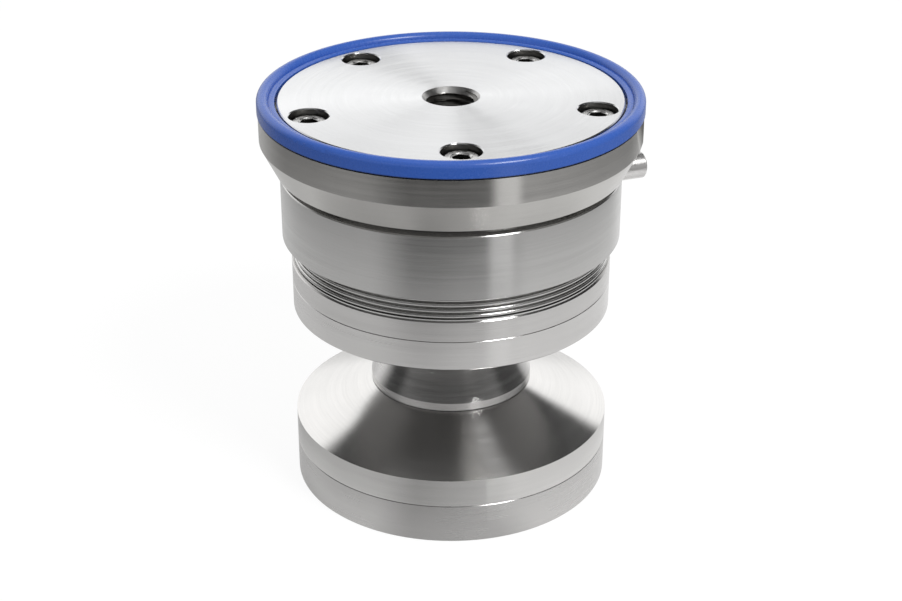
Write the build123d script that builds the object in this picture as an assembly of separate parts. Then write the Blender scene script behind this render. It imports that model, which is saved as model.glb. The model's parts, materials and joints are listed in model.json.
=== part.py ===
"""Weighing module: a round load cell with a sealed top plate, standing on a self-aligning foot.

Millimetres, +Z up, origin on the axis at the underside of the foot. The front is -Y.
Places around the axis are degrees from the front towards +X.
"""
import os
from math import atan2, cos, degrees, radians, sin, sqrt, tan

from build123d import *

# Foot
base_r = 50.0
base_plate_h = 12.5
foot_rim_h = 9.1
foot_slope_deg = 22.0

# Swivel cap on the foot
cap_collar_lip = 4.6
cap_collar_h = 2.6
cap_slope_deg = 58.0
cap_top_r = 15.5
cap_gap = 0.3
cap_bore_play = 0.55
cap_skirt_h = 12.0
cap_skirt_wall = 3.2

# Ball joint
ball_r = 15.0
ball_drop = 0.5
liner_t = 2.0
liner_h = 7.4
tilt_deg = 3.0
neck_r = 8.5
neck_gap = 3.1

# Pin above the neck
pin_collar_r = 14.0
pin_collar_h = 5.9
pin_flats = 24.0
stud_r = 9.0
stud_engage = 20.0

# Heights of the load cell, from its underside up
cover_h = 9.2
cover_floor = 7.0
lower_ring_h = 6.6
bellows_h = 8.0
housing_h = 20.0
groove_h = 2.4
flange_cone_h = 9.0
flange_band_h = 8.1
plate_proud = 3.4
plate_t = 11.0

# Radii of the load cell
body_r = 49.6
body_wall = 6.6
housing_step = 2.6
housing_wall = 5.4
groove_deep = 1.9
neck_step = 1.3
flange_flare = 4.5
seal_seat_w = 5.6
plate_land_w = 14.2

# Bellows
bellows_set = 0.5
bellows_deep = 1.8
bellows_t = 0.3
bellows_cuff = 0.5
bellows_ribs = 4

# Seal ring
seal_proud = 0.3
seal_gap = 0.7
seal_crest_h = 5.3
seal_lip_h = 3.6
seal_lip_w = 1.9
seal_tongue_in = 1.0
seal_tongue_w = 1.6
seal_tongue_h = 2.2
seal_lip_crown = 0.3

# Centre thread
thread_r = 7.0
thread_flare = 1.8
thread_depth = 18.0
boss_wall = 9.0
boss_floor = 3.0

# Five cap screws of the top plate
top_screw_in = 7.5
top_screw_count = 5
top_screw_start_deg = 3.7
top_screw_turns = (10.0, 25.0, 14.0, 40.0, 52.0)
m6_r = 3.0
m6_head_r = 5.0
m6_head_h = 6.0
m6_socket = 5.0
m6_socket_deep = 3.2
m6_length = 12.0
top_bore_play = 1.0
top_head_sink = 1.7
top_bore_chamfer = 0.3

# Four cap screws of the foot
foot_screw_in = 13.0
foot_screw_count = 4
foot_screw_start_deg = 45.0
foot_screw_length = 14.0
foot_head_sink = 0.6

# Spring element
spigot_h = 6.2
rim_h = 14.0
rim_w = 8.2
web_t = 4.0
hub_wall = 9.0
web_w = 5.9
torsion_w = 8.0
torsion_h = 10.0

# Screws of the spring element
rim_screw_in = 4.6
rim_screw_count = 6
rim_screw_start_deg = 21.7
m5_r = 2.5
m5_head_r = 4.25
m5_head_h = 5.0
m5_socket = 4.0
m5_socket_deep = 2.5
rim_screw_grip = 6.0

# Gauges and electronics
gauge_size = 6.0
gauge_t = 0.2
gauge_count = 4
ledge_h = 5.0
ledge_w = 4.0
board_t = 1.6
board_hole_r = 19.0
board_screw_count = 3
board_screw_start_deg = 50.0
chip_size = 10.5
chip_h = 0.91
amplifier_l = 6.0
amplifier_w = 7.5
capacitor_r = 3.0
terminals_l = 7.5
terminals_w = 15.0
tall_part_h = 4.55
m25_r = 1.25
m25_head_r = 2.2
m25_head_h = 1.6
m25_length = 5.0
lead_r = 0.5
signal_lead_r = 1.3
signal_lead_in = 3.0

# Cable gland
gland_deg = 110.5
gland_r = 4.25
gland_out = 12.9
gland_drop = 0.25
gland_wall = 0.8
gland_stop = 3.0
cable_r = 2.5
gland_chamfer = 0.5
notch_w = 12.0

# Notch in the rim of the flange
rim_notch_deg = 77.5
rim_notch_r = 22.8
rim_notch_deep = 2.6
rim_notch_toe = 0.4

# Sealing rings
o_ring_r = 0.9
o_groove_w = 2.4
o_groove_deep = 1.9
plate_o_out = 2.0
pin_o_out = 2.8
cap_o_r = 0.6
cap_o_out = 2.1
foot_o_in = 5.0
ball_seal_r = 1.0
ball_seal_deg = 44.0

# Clearances and edges
slip = 0.05
fit = 0.1
free = 0.2
edge = 0.3
seam = 0.15
socket_edge = 0.3

# Radii worked out from the sizes above
liner_r = ball_r + slip + liner_t
pocket_r = liner_r + fit
cap_bore_r = pocket_r + cap_bore_play
cup_r = cap_bore_r - slip
cap_skirt_r = cap_bore_r + cap_skirt_wall
cap_collar_r = cap_skirt_r + cap_collar_lip
cap_o_pcr = cap_skirt_r + cap_o_out
foot_screw_pcr = base_r - foot_screw_in
foot_o_pcr = base_r - foot_o_in
pin_o_pcr = stud_r + pin_o_out
hub_r = stud_r + hub_wall
body_bore_r = body_r - body_wall
bellows_crest_r = body_r - bellows_set
bellows_root_r = bellows_crest_r - bellows_deep
housing_r = body_r + housing_step
housing_bore_r = housing_r - housing_wall
groove_r = housing_r - groove_deep
flange_neck_r = housing_r + neck_step
flange_r = flange_neck_r + flange_flare
plate_seat_r = flange_r - seal_seat_w
plate_r = plate_seat_r - free
board_bore_r = plate_r - plate_land_w
ledge_r = board_bore_r - ledge_w
seal_inner_r = plate_r + seal_gap
seal_outer_r = flange_r + seal_proud
seal_tongue_r = plate_seat_r + seal_tongue_in
rim_r = housing_bore_r - free
rim_in_r = rim_r - rim_w
rim_screw_pcr = rim_r - rim_screw_in
torsion_mid_r = rim_in_r - web_w - torsion_w / 2
top_screw_pcr = plate_r - top_screw_in
top_bore_r = m6_head_r + top_bore_play
plate_o_pcr = board_bore_r + plate_o_out
thread_mouth_r = thread_r + thread_flare
signal_lead_in_r = ledge_r - signal_lead_in
gland_end_r = housing_r + gland_out
gland_bore_r = gland_r - gland_wall

# Heights worked out from the sizes above
foot_bore_deep = m6_head_h + foot_head_sink
top_bore_deep = m6_head_h + top_head_sink
foot_rim_z = base_plate_h + foot_rim_h
foot_land_z = foot_rim_z + (base_r - cap_collar_r) * tan(radians(foot_slope_deg))
cap_z = foot_land_z + cap_gap
cap_cone_z = cap_z + cap_collar_h
cap_top_z = cap_cone_z + (cap_collar_r - cap_top_r) * tan(radians(cap_slope_deg))
cap_skirt_z = cap_z - cap_skirt_h
ball_z = foot_land_z - ball_drop
pin_collar_z = cap_top_z + neck_gap
body_z = pin_collar_z + pin_collar_h
hub_z = body_z + cover_floor
lower_ring_z = body_z + cover_h
bellows_z = lower_ring_z + lower_ring_h
housing_z = bellows_z + bellows_h
housing_top_z = housing_z + housing_h
flange_z = housing_top_z + groove_h
band_z = flange_z + flange_cone_h
flange_top_z = band_z + flange_band_h
plate_top_z = flange_top_z + plate_proud
plate_z = plate_top_z - plate_t
spigot_z = flange_z - spigot_h
rim_z = spigot_z - rim_h
gland_z = spigot_z - gland_drop - gland_r
torsion_top_z = gland_z - signal_lead_r - free
torsion_z = torsion_top_z - torsion_h
web_z = torsion_z + (torsion_h - web_t) / 2
ledge_z = spigot_z + ledge_h
board_top_z = ledge_z + board_t

# Ball joint, worked out from the sizes above
mouth_r = neck_r + (cap_top_z - ball_z) * tan(radians(tilt_deg)) + free
cup_top_z = ball_z - liner_r * sin(radians(tilt_deg)) - free
pocket_h = liner_h + liner_r * sin(radians(tilt_deg)) + free
ball_seal_pcr = (ball_r + fit + ball_seal_r) * sin(radians(ball_seal_deg))
ball_seal_z = ball_z + (ball_r + fit + ball_seal_r) * cos(radians(ball_seal_deg))

UP = (Align.CENTER, Align.CENTER, Align.MIN)


def around(deg, r=0.0, z=0.0):
    """Place at a radius and height, at an angle from the front towards +X."""
    return Rot(0, 0, deg - 90) * Pos(r, 0, z)


def circle_of(count, start_deg):
    """Angles of an even pattern around the axis."""
    return [start_deg + k * 360 / count for k in range(count)]


def disc(r, z0, z1):
    """Cylinder on the axis between two heights."""
    return Pos(0, 0, z0) * Cylinder(r, z1 - z0, align=UP)


def tube(r_out, r_in, z0, z1):
    """Ring on the axis between two heights."""
    return disc(r_out, z0, z1) - disc(r_in, z0, z1)


def turned(outline):
    """Solid turned about the axis from a closed outline of (radius, height) points."""
    return revolve(Plane.XZ * make_face(Polyline(*outline, close=True)), Axis.Z)


def turned_lines(lines):
    """Solid turned about the axis from the lines and arcs of a closed outline."""
    return revolve(Plane.XZ * make_face(lines), Axis.Z)


def o_ring(pcr, r, z):
    """Round sealing ring, with the height of its middle."""
    return Pos(0, 0, z) * Torus(pcr, r)


def ball(r):
    """Sphere about the middle of the ball joint."""
    return Pos(0, 0, ball_z) * Sphere(r)


def hole(r, z0, z1, deg, pcr):
    """Upright hole at a place around the axis."""
    return around(deg, pcr, z0) * Cylinder(r, z1 - z0, align=UP)


def cap_screw(r, head_r, head_h, socket, socket_deep, length):
    """Socket cap screw, head up, with the underside of its head at the origin."""
    head = Cylinder(head_r, head_h, align=UP)
    head = chamfer(head.edges().group_by(Axis.Z)[-1], edge)
    corner = socket / sqrt(3)
    recess = Pos(0, 0, head_h - socket_deep) * extrude(RegularPolygon(corner, 6), socket_deep)
    recess += Pos(0, 0, head_h - socket_edge) * Cone(corner, corner + socket_edge, socket_edge, align=UP)
    shank = Pos(0, 0, -length) * Cylinder(r - slip, length, align=UP)
    shank = chamfer(shank.edges().group_by(Axis.Z)[0], edge)
    return head + shank - recess


# Foot

def base_plate():
    """Lower disc of the foot, with bores for its screws from below and a seal groove on top."""
    body = turned([
        (0, 0), (base_r - edge, 0), (base_r, edge),
        (base_r, base_plate_h - seam), (base_r - seam, base_plate_h), (0, base_plate_h)])
    for deg in circle_of(foot_screw_count, foot_screw_start_deg):
        body -= hole(m6_r + free, 0, base_plate_h, deg, foot_screw_pcr)
        body -= hole(m6_head_r + free, 0, foot_bore_deep, deg, foot_screw_pcr)
    return body - tube(foot_o_pcr + o_groove_w / 2, foot_o_pcr - o_groove_w / 2,
                       base_plate_h - o_groove_deep, base_plate_h)


def foot_cone():
    """Upper disc of the foot: a band, a cone and the bore for the cap and the cup."""
    bore_r = cup_r + slip
    step_z = cap_skirt_z - free
    body = turned([
        (bore_r, base_plate_h), (base_r - seam, base_plate_h), (base_r, base_plate_h + seam),
        (base_r, foot_rim_z), (cap_collar_r, foot_land_z), (cap_skirt_r + slip, foot_land_z),
        (cap_skirt_r + slip, step_z), (bore_r, step_z)])
    reach = foot_bore_deep + foot_screw_length
    for deg in circle_of(foot_screw_count, foot_screw_start_deg):
        body -= hole(m6_r, base_plate_h, reach + free, deg, foot_screw_pcr)
    return body


def foot_screws():
    """Screws that hold the base plate to the cone, heads down."""
    screw = cap_screw(m6_r, m6_head_r, m6_head_h, m6_socket, m6_socket_deep, foot_screw_length)
    return [around(deg, foot_screw_pcr, foot_bore_deep) * Rot(180, 0, 0) * screw
            for deg in circle_of(foot_screw_count, foot_screw_start_deg)]


def foot_o_ring():
    return o_ring(foot_o_pcr, o_ring_r, base_plate_h - o_groove_deep + o_ring_r)


def thrust_cup():
    """Hardened cup that carries the ball."""
    return disc(cup_r, base_plate_h, cup_top_z) - ball(ball_r + slip)


def swivel_cap():
    """Collar, cone and skirt that hold the ball down in the foot."""
    body = turned([
        (0, cap_skirt_z), (cap_skirt_r, cap_skirt_z), (cap_skirt_r, cap_z),
        (cap_collar_r - seam, cap_z), (cap_collar_r, cap_z + seam), (cap_collar_r, cap_cone_z),
        (cap_top_r, cap_top_z), (0, cap_top_z)])
    body -= disc(cap_bore_r, cap_skirt_z, ball_z)
    body -= disc(mouth_r, cap_skirt_z, cap_top_z)
    body -= ball(pocket_r) & disc(pocket_r, cap_skirt_z, ball_z + pocket_h)
    body -= ball(ball_r + free)
    body -= disc(ball_seal_pcr + ball_seal_r + slip, ball_seal_z - ball_seal_r - slip,
                 ball_seal_z + ball_seal_r + slip)
    return body - tube(cap_o_pcr + cap_o_r + slip, cap_o_pcr - cap_o_r - slip,
                       cap_z, cap_z + 2 * cap_o_r - cap_gap)


def cap_o_ring():
    """Seal between the collar of the cap and the land of the cone."""
    return o_ring(cap_o_pcr, cap_o_r, foot_land_z + cap_o_r)


def ball_seal():
    """Seal in the cap, on the ball."""
    return o_ring(ball_seal_pcr, ball_seal_r, ball_seal_z)


# Ball joint

def ball_liner():
    """Sliding liner over the upper half of the ball."""
    return (ball(liner_r) - ball(ball_r + slip)) & disc(liner_r, ball_z, ball_z + liner_h)


def pivot_pin():
    """Ball, neck, collar with spanner flats and stud."""
    body = ball(ball_r) + disc(neck_r, ball_z, pin_collar_z)
    collar = chamfer(disc(pin_collar_r, pin_collar_z, body_z).edges().group_by(Axis.Z)[0], edge)
    flats = Pos(0, 0, pin_collar_z) * Box(2 * pin_collar_r, pin_flats, pin_collar_h, align=UP)
    stud = disc(stud_r, body_z, hub_z + stud_engage)
    stud = chamfer(stud.edges().group_by(Axis.Z)[-1], edge)
    return body + (collar & flats) + stud


# Load cell

def bottom_cover():
    """Floor of the load cell, clamped between the pin and the hub."""
    body = turned([
        (stud_r + slip, body_z), (body_r - edge, body_z), (body_r, body_z + edge),
        (body_r, lower_ring_z - seam), (body_r - seam, lower_ring_z), (body_bore_r, lower_ring_z),
        (body_bore_r, hub_z), (stud_r + slip, hub_z)])
    return body - tube(pin_o_pcr + o_groove_w / 2, pin_o_pcr - o_groove_w / 2, body_z, body_z + o_groove_deep)


def pin_o_ring():
    return o_ring(pin_o_pcr, o_ring_r, body_z + o_ring_r)


def lower_ring():
    """Ring on the bottom cover, centred by a lip, with the bellows on top."""
    lip_r = body_bore_r - slip
    lip_z = (hub_z + lower_ring_z) / 2
    return turned([
        (lip_r - body_wall / 3, lip_z), (lip_r, lip_z), (lip_r, lower_ring_z),
        (body_r - seam, lower_ring_z), (body_r, lower_ring_z + seam),
        (body_r, bellows_z - edge), (body_r - edge, bellows_z), (lip_r - body_wall / 3, bellows_z)])


def bellows():
    """Thin ribbed tube that lets the cell give under load and stay sealed."""
    z0 = bellows_z + bellows_cuff
    z1 = housing_z - bellows_cuff
    pitch = (z1 - z0) / bellows_ribs
    wide = pitch / 4 + bellows_t / 2
    narrow = pitch / 4 - bellows_t / 2
    crest_r = bellows_crest_r - wide
    root_r = bellows_root_r + narrow

    def side(crest, root):
        """One face of the wall, from cuff to cuff, with the radii of its bends."""
        skew = sqrt(0.5) * root
        lines = [ThreePointArc((root_r - root, z0), (root_r - skew, z0 + skew), (root_r, z0 + root))]
        for k in range(bellows_ribs):
            z = z0 + (k + 0.5) * pitch
            lines += [Line((root_r, z - crest), (crest_r, z - crest)),
                      ThreePointArc((crest_r, z - crest), (crest_r + crest, z), (crest_r, z + crest)),
                      Line((crest_r, z + crest), (root_r, z + crest))]
        for k in range(1, bellows_ribs):
            z = z0 + k * pitch
            lines.append(ThreePointArc((root_r, z - root), (root_r - root, z), (root_r, z + root)))
        return lines + [ThreePointArc((root_r, z1 - root), (root_r - skew, z1 - skew), (root_r - root, z1))]

    inner_r = root_r - wide
    cuffs = [Polyline((bellows_root_r, z0), (bellows_crest_r, z0), (bellows_crest_r, bellows_z),
                      (inner_r, bellows_z), (inner_r, z0)),
             Polyline((bellows_root_r, z1), (bellows_crest_r, z1), (bellows_crest_r, housing_z),
                      (inner_r, housing_z), (inner_r, z1))]
    return turned_lines(side(wide, narrow) + side(narrow, wide) + cuffs)


def housing():
    """Outer wall of the load cell, with a seat for the flange and a hole for the gland."""
    seat_r = groove_r + slip
    body = turned([
        (housing_bore_r, housing_z), (housing_r - edge, housing_z), (housing_r, housing_z + edge),
        (housing_r, housing_top_z - edge), (housing_r - edge, housing_top_z), (seat_r, housing_top_z),
        (seat_r, spigot_z), (housing_bore_r, spigot_z)])
    return body - radial_rod(gland_r + slip, 0, gland_end_r)


def upper_flange():
    """Widest ring: cone and band outside, spigot below, seats for the plate and the seal ring."""
    body = turned([
        (ledge_r, spigot_z), (groove_r, spigot_z), (groove_r, flange_z), (flange_neck_r, flange_z),
        (flange_r, band_z), (flange_r, flange_top_z), (plate_seat_r, flange_top_z), (plate_seat_r, plate_z),
        (board_bore_r, plate_z), (board_bore_r, ledge_z), (ledge_r, ledge_z)])
    body -= tube(seal_tongue_r + seal_tongue_w + slip, seal_tongue_r - slip,
                 flange_top_z - seal_tongue_h - free, flange_top_z)
    body -= tube(plate_o_pcr + o_groove_w / 2, plate_o_pcr - o_groove_w / 2, plate_z - o_groove_deep, plate_z)
    tap_z = plate_top_z - top_bore_deep - m6_length - free
    for deg in circle_of(top_screw_count, top_screw_start_deg):
        body -= hole(m6_r, tap_z, plate_z, deg, top_screw_pcr)
    for deg in circle_of(rim_screw_count, rim_screw_start_deg):
        body -= hole(m5_r, spigot_z, spigot_z + rim_screw_grip + free, deg, rim_screw_pcr)
    for deg in circle_of(board_screw_count, board_screw_start_deg):
        body -= hole(m25_r, board_top_z - m25_length - free, ledge_z, deg, board_screw_pcr())
    return body - rim_notch()


def rim_notch():
    """Sloping round cut, deepest at the top of the flange and shallow at the foot of its band."""
    lean = atan2(rim_notch_deep - rim_notch_toe, flange_band_h)
    inner = (flange_r - (rim_notch_deep + rim_notch_toe) / 2, band_z + flange_band_h / 2)
    place = Pos(inner[0] + rim_notch_r * cos(lean), 0, inner[1] + rim_notch_r * sin(lean))
    cutter = place * Rot(0, -degrees(lean), 0) * Cylinder(rim_notch_r, 4 * flange_band_h)
    return around(rim_notch_deg) * cutter


def seal_ring():
    """Elastomer ring: an inner lip, a raised outer bead and a tongue in the flange."""
    z0 = flange_top_z
    lip_z = z0 + seal_lip_h
    lip_r = seal_inner_r + seal_lip_w
    bead_r = (seal_outer_r - lip_r) / 2
    side_z = z0 + seal_crest_h - bead_r
    t_in = seal_tongue_r
    t_out = t_in + seal_tongue_w
    t_z = z0 - seal_tongue_h
    lines = [
        Line((seal_inner_r, z0), (seal_inner_r, lip_z - seal_lip_crown)),
        ThreePointArc((seal_inner_r, lip_z - seal_lip_crown),
                      (seal_inner_r + seal_lip_w / 2, lip_z + seal_lip_crown / 2), (lip_r, lip_z)),
        ThreePointArc((lip_r, lip_z), (lip_r + bead_r, z0 + seal_crest_h), (seal_outer_r, side_z)),
        Polyline((seal_outer_r, side_z), (seal_outer_r, z0 + 2 * edge), (seal_outer_r - 2 * edge, z0),
                 (t_out, z0), (t_out, t_z), (t_in, t_z), (t_in, z0), (seal_inner_r, z0))]
    return turned_lines(lines)


def top_plate():
    """Plate with the centre thread, the screw holes and a boss below that closes the thread."""
    boss_z = plate_top_z - thread_depth - boss_floor
    flare = thread_mouth_r - thread_r
    body = turned([
        (0, boss_z), (thread_r + boss_wall, boss_z), (thread_r + boss_wall, plate_z), (plate_r, plate_z),
        (plate_r, plate_top_z - edge), (plate_r - edge, plate_top_z), (thread_mouth_r, plate_top_z),
        (thread_r, plate_top_z - flare), (thread_r, plate_top_z - thread_depth),
        (0, plate_top_z - thread_depth)])
    for deg in circle_of(top_screw_count, top_screw_start_deg):
        body -= hole(m6_r + free, plate_z, plate_top_z, deg, top_screw_pcr)
        body -= hole(top_bore_r, plate_top_z - top_bore_deep, plate_top_z, deg, top_screw_pcr)
        body -= around(deg, top_screw_pcr, plate_top_z - top_bore_chamfer) * Cone(
            top_bore_r, top_bore_r + top_bore_chamfer, top_bore_chamfer, align=UP)
    return body


def top_screws():
    screw = cap_screw(m6_r, m6_head_r, m6_head_h, m6_socket, m6_socket_deep, m6_length)
    angles = circle_of(top_screw_count, top_screw_start_deg)
    return [around(deg, top_screw_pcr, plate_top_z - top_bore_deep) * Rot(0, 0, turn) * screw
            for deg, turn in zip(angles, top_screw_turns)]


def plate_o_ring():
    return o_ring(plate_o_pcr, o_ring_r, plate_z - o_groove_deep + o_ring_r)


# Measuring body and electronics

def spring_element():
    """Hub, torsion ring and rim joined by thin webs, with a notch in the rim for the leads."""
    r0 = torsion_mid_r - torsion_w / 2
    r1 = torsion_mid_r + torsion_w / 2
    web_top_z = web_z + web_t
    bore_r = stud_r + slip
    hub_top_z = hub_z + stud_engage + free
    body = turned([
        (bore_r, hub_z), (hub_r, hub_z), (hub_r, web_z), (r0, web_z), (r0, torsion_z), (r1, torsion_z),
        (r1, web_z), (rim_in_r, web_z), (rim_in_r, rim_z), (rim_r, rim_z), (rim_r, spigot_z),
        (rim_in_r, spigot_z), (rim_in_r, web_top_z), (r1, web_top_z), (r1, torsion_top_z),
        (r0, torsion_top_z), (r0, web_top_z), (hub_r, web_top_z), (hub_r, hub_top_z), (bore_r, hub_top_z)])
    for deg in circle_of(rim_screw_count, rim_screw_start_deg):
        body -= hole(m5_r + free, rim_z, spigot_z, deg, rim_screw_pcr)
    low = gland_z - gland_r
    notch = around(gland_deg, rim_in_r - free, low) * Box(
        rim_w + housing_wall, notch_w, spigot_z - low, align=(Align.MIN, Align.CENTER, Align.MIN))
    return body - notch


def rim_screws():
    """Screws up through the rim into the flange."""
    screw = cap_screw(m5_r, m5_head_r, m5_head_h, m5_socket, m5_socket_deep, rim_h + rim_screw_grip)
    return [around(deg, rim_screw_pcr, rim_z) * Rot(180, 0, 0) * screw
            for deg in circle_of(rim_screw_count, rim_screw_start_deg)]


def gauge_places():
    return circle_of(gauge_count, gland_deg + 45)


def strain_gauges():
    """Foil gauges on the upper and lower faces of the torsion ring."""
    foil = Box(gauge_size, gauge_size, gauge_t, align=UP)
    return [around(deg, torsion_mid_r, z) * foil
            for deg in gauge_places() for z in (torsion_top_z, torsion_z - gauge_t)]


def gauge_leads():
    """Leads from the upper gauges to the underside of the board."""
    z0 = torsion_top_z + gauge_t
    lead = Cylinder(lead_r, ledge_z - z0, align=UP)
    return [around(deg, torsion_mid_r, z0) * lead for deg in gauge_places()]


def board_screw_pcr():
    return board_bore_r - m25_head_r - free


def circuit_board():
    """Ring-shaped board on the ledge of the flange."""
    body = tube(board_bore_r - free, board_hole_r, ledge_z, board_top_z)
    for deg in circle_of(board_screw_count, board_screw_start_deg):
        body -= hole(m25_r + slip, ledge_z, board_top_z, deg, board_screw_pcr())
    return body


def board_parts():
    """Converter, amplifier, two capacitors and the terminal block on the board."""
    mid_r = (board_hole_r + ledge_r) / 2
    chip = Box(chip_size, chip_size, chip_h, align=UP)
    amplifier = Box(amplifier_l, amplifier_w, chip_h, align=UP)
    capacitor = Cylinder(capacitor_r, tall_part_h, align=UP)
    terminals = Box(terminals_l, terminals_w, tall_part_h, align=UP)
    places = [(chip, gland_deg + 90), (amplifier, gland_deg + 135), (capacitor, gland_deg + 190),
              (capacitor, gland_deg + 220), (terminals, gland_deg + 30)]
    return [around(deg, mid_r, board_top_z) * piece for piece, deg in places]


def board_screws():
    screw = Cylinder(m25_head_r, m25_head_h, align=UP)
    screw += Pos(0, 0, -m25_length) * Cylinder(m25_r - slip, m25_length, align=UP)
    return [around(deg, board_screw_pcr(), board_top_z) * screw
            for deg in circle_of(board_screw_count, board_screw_start_deg)]


# Cable gland

def radial_rod(r, r0, r1):
    """Rod along the direction of the gland, between two radii."""
    return around(gland_deg, r0, gland_z) * Rot(0, 90, 0) * Cylinder(r, r1 - r0, align=UP)


def gland_sleeve():
    """Steel sleeve through the wall of the housing, with a stop for the grommet."""
    rod = Rot(0, 90, 0) * Cylinder(gland_r, gland_end_r - housing_bore_r, align=UP)
    rod = chamfer(rod.edges().group_by(Axis.X)[-1], gland_chamfer)
    rod = around(gland_deg, housing_bore_r, gland_z) * rod
    stop_r = housing_bore_r + gland_stop
    lead_hole = radial_rod(signal_lead_r + free, 0, gland_end_r)
    return rod - lead_hole - radial_rod(gland_bore_r, stop_r, gland_end_r)


def gland_grommet():
    """Rubber sleeve that grips the cable."""
    start = housing_bore_r + gland_stop
    end = gland_end_r - gland_chamfer
    return radial_rod(gland_bore_r - slip, start, end) - radial_rod(cable_r, start, end)


def signal_leads():
    """Bundle of leads from the gland, through the notch of the rim and up to the board."""
    route = Plane.XZ * FilletPolyline(
        (housing_bore_r + gland_stop / 2, gland_z), (signal_lead_in_r, gland_z), (signal_lead_in_r, ledge_z),
        radius=2 * signal_lead_r)
    start = Plane(origin=route @ 0, z_dir=route % 0)
    return around(gland_deg) * sweep(start * Circle(signal_lead_r), path=route)


PIECES = [
    base_plate, foot_cone, foot_screws, foot_o_ring, thrust_cup, swivel_cap, cap_o_ring, ball_seal,
    ball_liner, pivot_pin, bottom_cover, pin_o_ring, lower_ring, bellows, housing, upper_flange,
    seal_ring, top_plate, top_screws, plate_o_ring, spring_element, rim_screws, strain_gauges,
    gauge_leads, circuit_board, board_parts, board_screws, gland_sleeve, gland_grommet, signal_leads]


def main():
    os.makedirs("parts", exist_ok=True)
    for piece in PIECES:
        shape = piece()
        if isinstance(shape, list):
            shape = Compound(children=shape)
        export_step(shape, f"parts/{piece.__name__}.step")


main()
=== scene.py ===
"""Looks of the weighing module: finishes, the thread in the top plate, camera and studio."""
import json
from math import atan2, cos, hypot, pi, radians, sin

import bmesh
import bpy
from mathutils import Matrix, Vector


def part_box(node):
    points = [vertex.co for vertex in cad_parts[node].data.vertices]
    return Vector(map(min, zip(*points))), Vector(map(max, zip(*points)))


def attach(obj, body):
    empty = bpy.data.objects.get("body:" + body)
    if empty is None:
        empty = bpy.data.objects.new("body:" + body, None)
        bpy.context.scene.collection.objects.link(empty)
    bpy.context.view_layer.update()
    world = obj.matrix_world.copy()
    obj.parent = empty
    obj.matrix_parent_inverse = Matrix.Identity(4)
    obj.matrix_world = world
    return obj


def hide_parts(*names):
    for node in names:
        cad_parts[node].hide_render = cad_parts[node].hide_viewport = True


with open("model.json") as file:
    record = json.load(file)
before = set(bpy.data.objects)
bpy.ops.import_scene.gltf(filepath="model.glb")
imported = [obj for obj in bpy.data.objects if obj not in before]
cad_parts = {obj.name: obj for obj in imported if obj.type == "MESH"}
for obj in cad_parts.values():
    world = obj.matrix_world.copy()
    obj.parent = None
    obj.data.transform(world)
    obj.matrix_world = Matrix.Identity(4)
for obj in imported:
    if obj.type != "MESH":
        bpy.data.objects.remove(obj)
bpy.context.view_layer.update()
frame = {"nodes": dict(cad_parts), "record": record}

NODES = frame["nodes"]
MOUNTS = {m["name"]: m for m in frame["record"]["mounts"]}
SCENE = bpy.context.scene

# Camera, fitted to the photograph
VIEW_ELEVATION = radians(26.431)
VIEW_DISTANCE = 0.56415
VIEW_TARGET = Vector((0, 0, 0.057605))
VIEW_LENS = 70.99
SENSOR = 36.0

# Groove between the housing and the flange, inside which the flange's colour is darkened as painted shade
GROOVE_R = 0.0503
GROOVE_PAINTED_SHADE = 0.45

# Thread of the top plate: the profile's lengths are shares of the pitch
THREAD_PITCH = 0.002
THREAD_DEPTH = 0.00095
THREAD_STEPS = 96
THREAD_PROFILE = 14
THREAD_HALF = 0.43
THREAD_FLANK = 0.35
SAME_PLACE = 1e-6

# Materials: the range that a noise mostly fills, and the bumps' heights
NOISE_LOW = 0.3
NOISE_HIGH = 0.7
STEEL_BUMP = 0.00002
RUBBER_BUMP = 0.00003

# Shares of the lines and the clouds in the tone of turned steel, and the spread of its colour
WIDE_SHARE = 0.35
FINE_SHARE = 0.5
CLOUD_SHARE = 0.6
TONE_SPREAD = 2.2
UNDERSIDE_ROUGHER = 0.2

# Studio, in degrees: around is from the front towards +X and up from level; side and tilt are those of
# the mirror that throws a direction to the camera, tilt from upright
BACKDROP_RIGHT = (112.0, 148.0)
BACKDROP_LEFT = (-98.0, -135.0)
BACKDROP_TOP = (48.0, 60.0)
BACKDROP_LEVEL = 1.1
HOOD_SIDE = (8.0, 56.0, 8.0)
HOOD_TILT = (12.5, 16.5)
FLAG_SIDE = (32.0, 15.0, 5.0)
FLAG_DARK = 0.95
CROSS_SIDES = ((100.0, 7.0, 6.0), (-80.0, 7.0, 6.0))
CROSS_DARK = 0.5
CROSS_TILT = (18.0, 14.0)
FLAG_TILT = (0.5, 3.0)
AHEAD_UP = (24.0, 15.0)
AHEAD_AROUND = (86.0, 64.0)
AHEAD_LEVEL = 0.45
CEILING_UP = (62.0, 76.0)
CEILING_LEVEL = 0.6
ROOM_LEVEL = 0.04
SOFT_LEVEL = 0.68

# Floor as the metal mirrors it, a glowing pattern of painted light and painted shade: darker in front, near the
# object and further out, with a painted bright strip at the front right. Radii in metres, degrees from the front
# towards +X. Pairs of levels or darkening are those on its left and right side
FLOOR_HALF = 3.0
FLOOR_DROP = 0.00002
LEFT_RIGHT = (-0.04, 0.04)
FRONT_LEVEL = (0.74, 0.88)
BACK_LEVEL = (0.72, 0.96)
BACK_NEAR = (0.08, 0.15, 2.0, 1.0)
BEHIND_RIGHT = (120.0, 152.0)
BEHIND_LEFT = (-104.0, -145.0)
DIP_R = (0.090, 0.010, 0.025)
DIP_DARK = (0.42, 0.22)
NEAR_AROUND = (36.0, 14.0)
NEAR_DARK = (0.13, 0.09, 0.0, 0.35)
MIDDLE_R = (0.17, 0.25)
MIDDLE_AROUND = (50.0, 20.0)
MIDDLE_LEVEL = 0.13
FAR_R = (0.25, 0.30)
FAR_DARK = (0.75, 0.3)
STRIP_LEVEL = (0.07, 0.13, 0.56, 0.80)
STRIP_DIP = (0.238, 0.022, 0.03)
STRIP_DIP_DARK = 0.5
STRIP_AROUND = (32.5, 4.0, 7.0)
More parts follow.
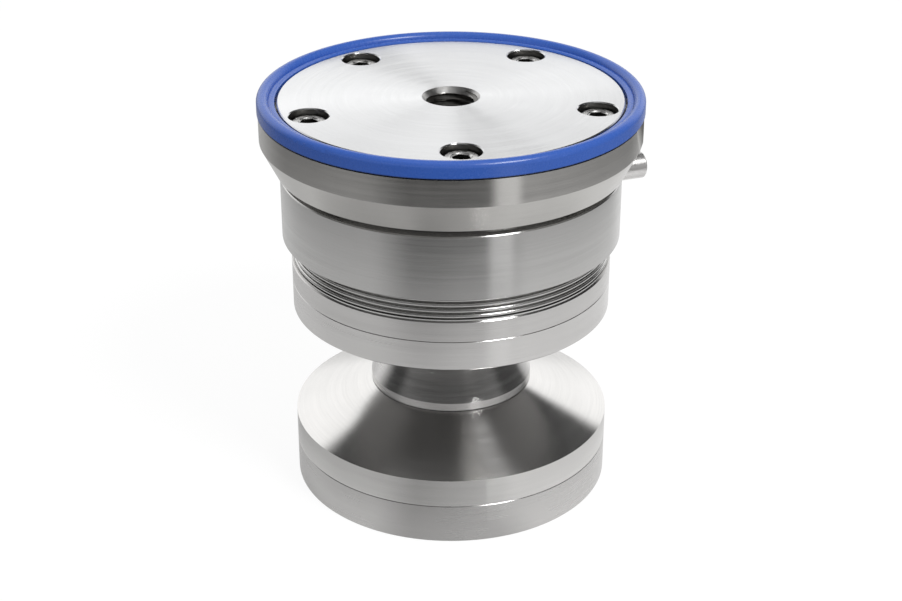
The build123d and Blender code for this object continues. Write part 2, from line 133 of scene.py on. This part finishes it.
STRIP_TURN = 0.75
STRIP_TURN_R = 0.03
GRAIN_LEVEL = 0.97
MIRRORED_GLOW = 0.5
SEEN_GLOW = 0.90
SEEN_SHADED = 0.13

# Lamp: degrees from the front towards +X and up, then metres and watts
LAMP_AROUND = 40
LAMP_UP = 49
LAMP_DISTANCE = 1.2
LAMP_SIZE = 0.36
LAMP_POWER = 6.5
LAMP_AIM = Vector((0, 0, 0.06))


class Nodes:
    """Small helper that adds and links shader nodes."""

    def __init__(self, tree):
        self.tree = tree
        tree.nodes.clear()

    def add(self, kind, inputs=None, **settings):
        node = self.tree.nodes.new(kind)
        for key, value in settings.items():
            setattr(node, key, value)
        for key, value in (inputs or {}).items():
            socket = node.inputs[key]
            if isinstance(value, bpy.types.NodeSocket):
                self.tree.links.new(value, socket)
            else:
                socket.default_value = value
        return node

    def math(self, operation, *values):
        return self.add("ShaderNodeMath", dict(enumerate(values)), operation=operation).outputs[0]

    def vector(self, x, y, z):
        return self.add("ShaderNodeCombineXYZ", {0: x, 1: y, 2: z}).outputs[0]

    def remap(self, value, low, high, to_low=0.0, to_high=1.0, smooth=True):
        node = self.add("ShaderNodeMapRange", {0: value, 1: low, 2: high, 3: to_low, 4: to_high})
        node.interpolation_type = "SMOOTHSTEP" if smooth else "LINEAR"
        return node.outputs[0]

    def mix(self, factor, first, second):
        node = self.add("ShaderNodeMix", {0: factor, 6: first, 7: second}, data_type="RGBA")
        return node.outputs[2]

    def noise(self, vector, scale, detail, roughness, w=None):
        inputs = {"Vector": vector, "Scale": scale, "Detail": detail, "Roughness": roughness}
        node = self.add("ShaderNodeTexNoise", inputs, noise_dimensions="3D" if w is None else "4D")
        if w is not None:
            self.tree.links.new(w, node.inputs["W"])
        return node.outputs[0]

    def spread(self, noise, low, high):
        """Value that follows a noise from low to high."""
        return self.remap(noise, NOISE_LOW, NOISE_HIGH, low, high)


def rgb(r, g, b):
    return (r, g, b, 1.0)


def tinted(colour, factor):
    """A colour made darker or lighter."""
    return rgb(*(min(1.0, v * factor) for v in colour))


def new_material(name):
    material = bpy.data.materials.new(name)
    material.use_nodes = True
    return material, Nodes(material.node_tree)


def polar(n):
    """Radius, height and the two parts of the direction around the axis, from object coordinates."""
    place = n.add("ShaderNodeTexCoord").outputs["Object"]
    x, y, z = n.add("ShaderNodeSeparateXYZ", {0: place}).outputs
    r = n.math("MAXIMUM", n.math("SQRT", n.math("ADD", n.math("MULTIPLY", x, x), n.math("MULTIPLY", y, y))), 1e-5)
    return place, r, z, n.math("DIVIDE", x, r), n.math("DIVIDE", y, r)


def turned_lines(n, pitch, run):
    """Noise that is fine across the lines of a lathe tool and long along them."""
    _, r, z, c, s = polar(n)
    around = n.vector(n.math("DIVIDE", r, pitch), n.math("DIVIDE", z, pitch), n.math("MULTIPLY", c, run))
    return n.noise(around, 1.0, 3.0, 0.6, w=n.math("MULTIPLY", s, run))


def turned_steel(name, colour, rough, anisotropic, lines=0.35, patch=0.07, pitch=0.00032, vary=0.15,
                 groove=0.0, underside_shade=0.0):
    """Turned stainless steel: fine lines around the axis that stretch the highlights across them.

    Inside the radius groove the colour darkens as painted shade, and beyond it the metal keeps its colour. The
    underside darkens by the share given for it, as painted shade, and is rougher.
    """
    material, n = new_material(name)
    place, r = polar(n)[:2]
    fine = turned_lines(n, pitch, 1.2)
    wide = turned_lines(n, pitch * 5, 0.8)
    cloud = n.noise(place, 38.0, 3.0, 0.55)
    tone = 0.5
    for noise, share in ((wide, WIDE_SHARE), (fine, FINE_SHARE), (cloud, CLOUD_SHARE)):
        tone = n.math("ADD", tone, n.math("MULTIPLY", n.math("SUBTRACT", noise, 0.5), share))
    metal = n.mix(tone, tinted(colour, 1 - TONE_SPREAD * patch), tinted(colour, 1 + TONE_SPREAD * patch))
    # Painted shade: the colour darkens inside the groove's radius
    if groove:
        metal = n.mix(n.remap(r, groove + 0.0002, groove + 0.0005), tinted(colour, GROOVE_PAINTED_SHADE), metal)
    patches = n.math("ADD", n.math("MULTIPLY", wide, 0.6), n.math("MULTIPLY", cloud, 0.4))
    roughness = n.spread(patches, rough * (1 - vary), rough * (1 + 1.2 * vary))
    # Painted shade: faces that look down are darker, and rougher too
    if underside_shade:
        facing = n.add("ShaderNodeSeparateXYZ", {0: n.add("ShaderNodeTexCoord").outputs["Normal"]}).outputs[2]
        under = n.remap(facing, -0.80, -0.95)
        metal = n.mix(under, metal, tinted(colour, 1 - underside_shade))
        roughness = n.math("ADD", roughness, n.math("MULTIPLY", under, UNDERSIDE_ROUGHER))
    bump = n.add("ShaderNodeBump", {"Strength": lines, "Distance": STEEL_BUMP, "Height": fine})
    tangent = n.add("ShaderNodeTangent", direction_type="RADIAL", axis="Z").outputs[0]
    shader = n.add("ShaderNodeBsdfPrincipled", {
        "Base Color": metal, "Metallic": 1.0, "Roughness": roughness,
        "Anisotropic": anisotropic, "Anisotropic Rotation": 0.25, "Normal": bump.outputs[0], "Tangent": tangent})
    n.add("ShaderNodeOutputMaterial", {0: shader.outputs[0]})
    return material


def plain_steel(name, colour, rough, grain=900.0, lines=0.2):
    """Steel with a fine even grain, for screws and ground faces."""
    material, n = new_material(name)
    place = n.add("ShaderNodeTexCoord").outputs["Object"]
    grain_noise = n.noise(place, grain, 3.0, 0.6)
    cloud = n.noise(place, 120.0, 2.0, 0.5)
    bump = n.add("ShaderNodeBump", {"Strength": lines, "Distance": STEEL_BUMP, "Height": grain_noise})
    shader = n.add("ShaderNodeBsdfPrincipled", {
        "Base Color": n.mix(cloud, tinted(colour, 0.86), tinted(colour, 1.12)), "Metallic": 1.0,
        "Roughness": n.spread(grain_noise, rough * 0.8, rough * 1.2), "Normal": bump.outputs[0]})
    n.add("ShaderNodeOutputMaterial", {0: shader.outputs[0]})
    return material


def screw_heads(name, top):
    """Cap screws with bright worn faces, and painted shade below the faces and in their sockets."""
    material, n = new_material(name)
    place, _, z, _, _ = polar(n)
    grain = n.noise(place, 900.0, 3.0, 0.6)
    # Painted shade: everything lower than the top face is near black steel
    face = n.remap(z, top - 0.0006, top - 0.0003)
    dark = n.mix(grain, rgb(0.09, 0.087, 0.08), rgb(0.17, 0.165, 0.155))
    light = n.mix(grain, rgb(0.72, 0.715, 0.70), rgb(0.88, 0.875, 0.86))
    shader = n.add("ShaderNodeBsdfPrincipled", {
        "Base Color": n.mix(face, dark, light), "Metallic": 1.0, "Roughness": n.spread(grain, 0.24, 0.36)})
    n.add("ShaderNodeOutputMaterial", {0: shader.outputs[0]})
    return material


def elastomer(name, colour, rough, spread=0.12, grain=700.0, bump=0.15, foot=None):
    """Moulded rubber or plastic: faint mottling and a fine skin, and a painted contact shadow, near black, just
    above the given height.
    """
    material, n = new_material(name)
    place = n.add("ShaderNodeTexCoord").outputs["Object"]
    cloud = n.noise(place, 60.0, 4.0, 0.6)
    skin = n.noise(place, grain, 3.0, 0.6)
    rubber = n.mix(cloud, tinted(colour, 1 - spread), tinted(colour, 1 + spread))
    # Painted shadow: the colour goes near black just above the height where the ring sits on the flange
    if foot is not None:
        low = n.remap(polar(n)[2], foot + 0.0003, foot + 0.0009)
        rubber = n.mix(low, tinted(colour, 0.06), rubber)
    bumps = n.add("ShaderNodeBump", {"Strength": bump, "Distance": RUBBER_BUMP, "Height": skin})
    shader = n.add("ShaderNodeBsdfPrincipled", {
        "Base Color": rubber, "Roughness": n.spread(skin, rough * 0.88, rough * 1.12), "Normal": bumps.outputs[0]})
    n.add("ShaderNodeOutputMaterial", {0: shader.outputs[0]})
    return material


def laminate(name, colour):
    """Circuit board: solder resist over copper tracks."""
    material, n = new_material(name)
    place = n.add("ShaderNodeTexCoord").outputs["Object"]
    tracks = n.add("ShaderNodeTexBrick", {"Vector": place, "Scale": 260.0, "Mortar Size": 0.06}).outputs[1]
    weave = n.noise(place, 1500.0, 2.0, 0.5)
    base = n.mix(tracks, rgb(*colour), tinted(colour, 1.7))
    bump = n.add("ShaderNodeBump", {"Strength": 0.2, "Distance": RUBBER_BUMP, "Height": weave})
    shader = n.add("ShaderNodeBsdfPrincipled", {"Base Color": base, "Roughness": 0.35, "Normal": bump.outputs[0]})
    n.add("ShaderNodeOutputMaterial", {0: shader.outputs[0]})
    return material


def foil(name):
    """Strain gauge: amber backing with a grid of foil lines."""
    material, n = new_material(name)
    place = n.add("ShaderNodeTexCoord").outputs["Object"]
    wave = n.add("ShaderNodeTexWave", {"Vector": place, "Scale": 420.0}).outputs[1]
    line = n.remap(wave, 0.45, 0.55)
    shader = n.add("ShaderNodeBsdfPrincipled", {
        "Base Color": n.mix(line, rgb(0.55, 0.27, 0.06), rgb(0.60, 0.52, 0.36)), "Roughness": 0.4})
    n.add("ShaderNodeOutputMaterial", {0: shader.outputs[0]})
    return material


housing_steel = turned_steel("housing_steel", (0.62, 0.615, 0.605), 0.22, 0.9)
flange_steel = turned_steel("flange_steel", (0.60, 0.59, 0.57), 0.22, 0.92, groove=GROOVE_R)
cover_steel = turned_steel("cover_steel", (0.72, 0.71, 0.70), 0.24, 0.9, underside_shade=0.65)
ring_steel = turned_steel("ring_steel", (0.66, 0.65, 0.64), 0.23, 0.9)
foot_steel = turned_steel("foot_steel", (0.80, 0.79, 0.775), 0.20, 0.95, vary=0.06)
base_steel = turned_steel("base_steel", (0.67, 0.66, 0.65), 0.25, 0.9)
cap_steel = turned_steel("cap_steel", (0.70, 0.69, 0.68), 0.24, 0.9)
faced_steel = turned_steel("faced_steel", (0.80, 0.805, 0.81), 0.21, 0.97, lines=0.25, patch=0.08, pitch=0.00028)
# Steel darkened as painted shade, for the walls of the bore and the screw holes
shaded_bore_steel = plain_steel("shaded_bore_steel", (0.20, 0.195, 0.185), 0.34)
edge_steel = plain_steel("edge_steel", (0.50, 0.495, 0.485), 0.34)
shaded_head_steel = screw_heads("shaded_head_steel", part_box("top_screws")[1].z)
bellows_steel = turned_steel("bellows_steel", (0.66, 0.655, 0.645), 0.22, 0.7)
polished_steel = turned_steel("polished_steel", (0.66, 0.655, 0.645), 0.14, 0.3, lines=0.1, patch=0.02)
inner_steel = turned_steel("inner_steel", (0.58, 0.57, 0.56), 0.3, 0.6)
gland_steel = plain_steel("gland_steel", (0.74, 0.73, 0.72), 0.34, lines=0.08)
screw_steel = plain_steel("screw_steel", (0.55, 0.545, 0.53), 0.3)
hard_steel = plain_steel("hard_steel", (0.48, 0.47, 0.46), 0.22)
blue_rubber = elastomer("blue_rubber", (0.042, 0.120, 0.48), 0.27, spread=0.02, bump=0.015,
                        foot=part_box("upper_flange")[1].z)
black_rubber = elastomer("black_rubber", (0.022, 0.022, 0.022), 0.55, grain=900.0, bump=0.3)
sliding_polymer = elastomer("sliding_polymer", (0.30, 0.24, 0.15), 0.5)
board_green = laminate("board_green", (0.02, 0.13, 0.05))
component_black = elastomer("component_black", (0.03, 0.03, 0.03), 0.45, grain=1500.0)
lead_red = elastomer("lead_red", (0.42, 0.035, 0.03), 0.4)
gauge_foil = foil("gauge_foil")

FINISHES = {
    "base_plate": base_steel, "foot_cone": foot_steel, "foot_screws": screw_steel, "foot_o_ring": black_rubber,
    "thrust_cup": hard_steel, "swivel_cap": cap_steel, "cap_o_ring": black_rubber, "ball_seal": black_rubber,
    "ball_liner": sliding_polymer, "pivot_pin": polished_steel, "bottom_cover": cover_steel,
    "pin_o_ring": black_rubber, "lower_ring": ring_steel, "bellows": bellows_steel, "housing": housing_steel,
    "upper_flange": flange_steel, "seal_ring": blue_rubber, "top_plate": faced_steel, "top_screws": shaded_head_steel,
    "plate_o_ring": black_rubber, "spring_element": inner_steel, "rim_screws": screw_steel,
    "strain_gauges": gauge_foil, "gauge_leads": lead_red, "circuit_board": board_green,
    "board_parts": component_black, "board_screws": screw_steel, "gland_sleeve": gland_steel,
    "gland_grommet": black_rubber, "signal_leads": lead_red}


def finish_nodes():
    """Puts the finish of each CAD node in its material slots."""
    for name, node in NODES.items():
        node.data.materials.clear()
        node.data.materials.append(FINISHES[name])


def thread_surface(mesh, core, mouth, low, high):
    """Adds the wall of an inside thread to a mesh, running out through the chamfer at its mouth."""
    shares = [k / THREAD_PROFILE for k in range(THREAD_PROFILE + 1)]
    rows = []
    for step in range((int((high - low) / THREAD_PITCH) + 2) * THREAD_STEPS + 1):
        angle = 2 * pi * step / THREAD_STEPS
        base = low - THREAD_PITCH + THREAD_PITCH * step / THREAD_STEPS
        row = []
        for share in shares:
            z = base + share * THREAD_PITCH
            groove = THREAD_DEPTH * min(1.0, max(0.0, (THREAD_HALF - abs(share - 0.5)) / THREAD_FLANK))
            r = max(core + groove * (z > low), mouth - max(0.0, high - z))
            row.append(mesh.verts.new((r * cos(angle), r * sin(angle), min(max(z, low), high))))
        rows.append(row)
    for a, b in zip(rows, rows[1:]):
        for k in range(THREAD_PROFILE):
            corners = (a[k], b[k], b[k + 1], a[k + 1])
            heights = [v.co.z for v in corners]
            if max(heights) - min(heights) > SAME_PLACE / 10:
                face = mesh.faces.new(corners)
                chamfer = all(abs(hypot(v.co.x, v.co.y) - mouth + high - v.co.z) < SAME_PLACE for v in corners)
                # The thread takes the dark bore steel, painted shade, and its chamfer the edge steel
                face.material_index = 2 if chamfer else 1
    bmesh.ops.remove_doubles(mesh, verts=[v for row in rows for v in row], dist=SAME_PLACE)


def threaded_plate():
    """The top plate with a real thread in its bore, and metal darkened as painted shade in the bore and the screw
    holes.
    """
    source = NODES["top_plate"]
    core = MOUNTS["centre_thread"]["dims"]["r_mm"] / 1000
    mesh = bmesh.new()
    mesh.from_mesh(source.data)
    high = max(v.co.z for v in mesh.verts)
    edge_r = max(hypot(v.co.x, v.co.y) for v in mesh.verts)
    wall, flare = [], []
    for f in mesh.faces:
        middle = f.calc_center_median()
        r = hypot(middle.x, middle.y)
        upright = abs(f.normal.z) < 0.1
        if upright and r < core + 2e-5:
            wall.append(f)
        elif r < 2 * core and 0.1 < f.normal.z < 0.98:
            flare.append(f)
        # Painted shade: the faces of the screw holes take the dark bore steel
        elif 4 * core < r < edge_r - 0.0006 and middle.z < high - 0.0004 and f.normal.z > -0.5:
            f.material_index = 1
    low = min(v.co.z for f in wall for v in f.verts)
    mouth = max(hypot(v.co.x, v.co.y) for f in flare for v in f.verts)
    bmesh.ops.delete(mesh, geom=wall + flare, context="FACES")
    bmesh.ops.remove_doubles(mesh, verts=mesh.verts, dist=SAME_PLACE)
    thread_surface(mesh, core, mouth, low, high)
    data = bpy.data.meshes.new("threaded_plate")
    mesh.to_mesh(data)
    mesh.free()
    plate = bpy.data.objects.new("threaded_plate", data)
    SCENE.collection.objects.link(plate)
    data.materials.append(faced_steel)
    data.materials.append(shaded_bore_steel)
    data.materials.append(edge_steel)
    for name in [a.name for a in data.attributes if a.name in ("custom_normal", "sharp_edge", "sharp_face")]:
        data.attributes.remove(data.attributes[name])
    for polygon in data.polygons:
        polygon.use_smooth = True
    data.set_sharp_from_angle(angle=radians(25))
    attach(plate, "cell")
    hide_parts("top_plate")


def camera():
    """Camera at the photograph's viewing angle."""
    data = bpy.data.cameras.new("camera")
    data.lens = VIEW_LENS
    data.sensor_width = SENSOR
    data.clip_start = 0.01
    data.clip_end = 20
    eye = bpy.data.objects.new("camera", data)
    back = Vector((0, -cos(VIEW_ELEVATION), sin(VIEW_ELEVATION)))
    eye.location = VIEW_TARGET + back * VIEW_DISTANCE
    eye.rotation_euler = (-back).to_track_quat("-Z", "Y").to_euler()
    SCENE.collection.objects.link(eye)
    SCENE.camera = eye


def band(n, value, middle, half, soft):
    """1 inside a range of a value, with soft sides."""
    off = n.math("ABSOLUTE", n.math("SUBTRACT", value, middle))
    return n.remap(off, half + soft, half)


def angles(n, x, y):
    """Degrees around the axis from the front towards +X."""
    return n.math("MULTIPLY", n.math("ARCTAN2", x, n.math("MULTIPLY", y, -1.0)), 180 / pi)


def studio():
    """White backdrop behind the object and a darker room in front of it, as its metal mirrors them."""
    world = bpy.data.worlds.new("studio")
    SCENE.world = world
    world.use_nodes = True
    n = Nodes(world.node_tree)
    direction = n.add("ShaderNodeTexCoord").outputs["Generated"]
    x, y, z = n.add("ShaderNodeSeparateXYZ", {0: direction}).outputs
    around = angles(n, x, y)
    up = n.math("MULTIPLY", n.math("ARCSINE", z), 180 / pi)
    sides = n.math("ADD", n.remap(around, *BACKDROP_RIGHT), n.remap(around, *BACKDROP_LEFT))
    half = n.add("ShaderNodeVectorMath", {0: direction, 1: (0, -cos(VIEW_ELEVATION), sin(VIEW_ELEVATION))},
                 operation="ADD")
    half = n.add("ShaderNodeVectorMath", {0: half.outputs[0]}, operation="NORMALIZE").outputs[0]
    parts = n.add("ShaderNodeSeparateXYZ", {0: half}).outputs
    side = angles(n, parts[0], parts[1])
    tilt = n.math("MULTIPLY", n.math("ARCCOSINE", parts[2]), 180 / pi)
    hood = n.math("MULTIPLY", band(n, side, *HOOD_SIDE), n.remap(tilt, *HOOD_TILT))
    flag = n.math("MULTIPLY", band(n, side, *FLAG_SIDE), n.remap(tilt, *FLAG_TILT, 0.0, FLAG_DARK))
    cross = n.math("ADD", *(band(n, side, *place) for place in CROSS_SIDES))
    cross = n.math("MULTIPLY", cross, n.remap(tilt, *FLAG_TILT, 0.0, CROSS_DARK))
    cross = n.math("MULTIPLY", cross, n.remap(tilt, *CROSS_TILT))
    shade = n.remap(up, *BACKDROP_TOP)
    for dark in (hood, flag, cross):
        shade = n.math("MAXIMUM", shade, dark)
    light = n.math("MULTIPLY", n.math("MULTIPLY", sides, n.math("SUBTRACT", 1.0, shade)), BACKDROP_LEVEL)
    light = n.math("ADD", light, ROOM_LEVEL)
    ahead = n.math("MULTIPLY", n.remap(up, *AHEAD_UP, 0.0, AHEAD_LEVEL),
                   n.remap(n.math("ABSOLUTE", around), *AHEAD_AROUND))
    ceiling = n.remap(up, *CEILING_UP, 0.0, CEILING_LEVEL)
    light = n.math("MAXIMUM", light, n.math("MAXIMUM", ceiling, ahead))
    path = n.add("ShaderNodeLightPath").outputs
    sharp = n.math("MAXIMUM", path["Is Glossy Ray"], path["Is Transmission Ray"])
    level = n.math("ADD", n.math("MULTIPLY", sharp, light),
                   n.math("MULTIPLY", n.math("SUBTRACT", 1.0, sharp), SOFT_LEVEL))
    level = n.math("MAXIMUM", level, path["Is Camera Ray"])
    background = n.add("ShaderNodeBackground", {0: rgb(1, 1, 1), 1: level})
    n.add("ShaderNodeOutputWorld", {0: background.outputs[0]})


def floor():
    """Pale floor with the object's soft shadow, white to the camera as the photograph's is."""
    mesh = bmesh.new()
    bmesh.ops.create_grid(mesh, x_segments=1, y_segments=1, size=FLOOR_HALF)
    data = bpy.data.meshes.new("floor")
    mesh.to_mesh(data)
    mesh.free()
    ground = bpy.data.objects.new("floor", data)
    ground.location.z = -FLOOR_DROP
    SCENE.collection.objects.link(ground)
    material, n = new_material("pale_floor")
    place = n.add("ShaderNodeTexCoord").outputs["Object"]
    x, y = list(n.add("ShaderNodeSeparateXYZ", {0: place}).outputs)[:2]
    r = n.math("SQRT", n.math("ADD", n.math("MULTIPLY", x, x), n.math("MULTIPLY", y, y)))
    around = angles(n, x, y)
    off = n.math("ABSOLUTE", around)

    def across(levels):
        return n.remap(x, *LEFT_RIGHT, *levels)

    def darken(level, *shares):
        """A level less the product of some shares of it."""
        taken = 1.0
        for share in shares:
            taken = n.math("MULTIPLY", taken, share)
        return n.math("MULTIPLY", level, n.math("SUBTRACT", 1.0, taken))

    front = darken(across(FRONT_LEVEL), band(n, r, *DIP_R), across(DIP_DARK))
    back = n.math("MULTIPLY", across(BACK_LEVEL), n.remap(r, *BACK_NEAR))
    behind = n.math("MAXIMUM", n.remap(around, *BEHIND_RIGHT), n.remap(around, *BEHIND_LEFT))
    pale = n.math("ADD", darken(front, behind), n.math("MULTIPLY", back, behind))
    pale = darken(pale, n.remap(off, *NEAR_AROUND), n.remap(r, *NEAR_DARK))
    pale = darken(pale, n.remap(r, *MIDDLE_R), n.remap(off, *MIDDLE_AROUND), 1 - MIDDLE_LEVEL)
    pale = darken(pale, n.remap(r, *FAR_R), n.remap(behind, 0.0, 1.0, *FAR_DARK, smooth=False))
    strip = n.math("SUBTRACT", n.remap(r, *STRIP_LEVEL), n.math("MULTIPLY", band(n, r, *STRIP_DIP), STRIP_DIP_DARK))
    turn = n.math("ADD", around, n.math("DIVIDE", STRIP_TURN, n.math("MAXIMUM", r, STRIP_TURN_R)))
    pale = n.math("MAXIMUM", pale, n.math("MULTIPLY", band(n, turn, *STRIP_AROUND), strip))
    grain = n.noise(place, 30.0, 2.0, 0.5)
    pale = n.math("MULTIPLY", pale, n.spread(grain, GRAIN_LEVEL, 1.0))
    grey = n.add("ShaderNodeCombineColor", {0: pale, 1: pale, 2: pale}).outputs[0]
    # To mirrored rays the floor glows with half its pale pattern, painted light
    glow = n.add("ShaderNodeEmission", {0: grey, 1: MIRRORED_GLOW})
    diffuse = n.add("ShaderNodeBsdfDiffuse", {0: n.mix(1 - MIRRORED_GLOW, rgb(0, 0, 0), grey)})
    mirrored = n.add("ShaderNodeAddShader", {0: glow.outputs[0], 1: diffuse.outputs[0]})
    white = n.add("ShaderNodeEmission", {0: rgb(1, 1, 1), 1: SEEN_GLOW})
    shaded = n.add("ShaderNodeBsdfDiffuse", {0: rgb(SEEN_SHADED, SEEN_SHADED, SEEN_SHADED)})
    seen = n.add("ShaderNodeAddShader", {0: white.outputs[0], 1: shaded.outputs[0]})
    path = n.add("ShaderNodeLightPath").outputs
    mix = n.add("ShaderNodeMixShader", {0: path["Is Camera Ray"], 1: mirrored.outputs[0], 2: seen.outputs[0]})
    n.add("ShaderNodeOutputMaterial", {0: mix.outputs[0]})
    data.materials.append(material)


def lamp():
    """Round soft lamp that faces the object."""
    data = bpy.data.lights.new("key", "AREA")
    data.shape = "DISK"
    data.size = LAMP_SIZE
    data.energy = LAMP_POWER
    body = bpy.data.objects.new("key", data)
    a, e = radians(LAMP_AROUND), radians(LAMP_UP)
    body.location = LAMP_AIM + LAMP_DISTANCE * Vector((sin(a) * cos(e), -cos(a) * cos(e), sin(e)))
    body.rotation_euler = (LAMP_AIM - body.location).to_track_quat("-Z", "Y").to_euler()
    SCENE.collection.objects.link(body)


finish_nodes()
threaded_plate()
camera()
studio()
floor()
lamp()
SCENE.view_settings.view_transform = "Standard"
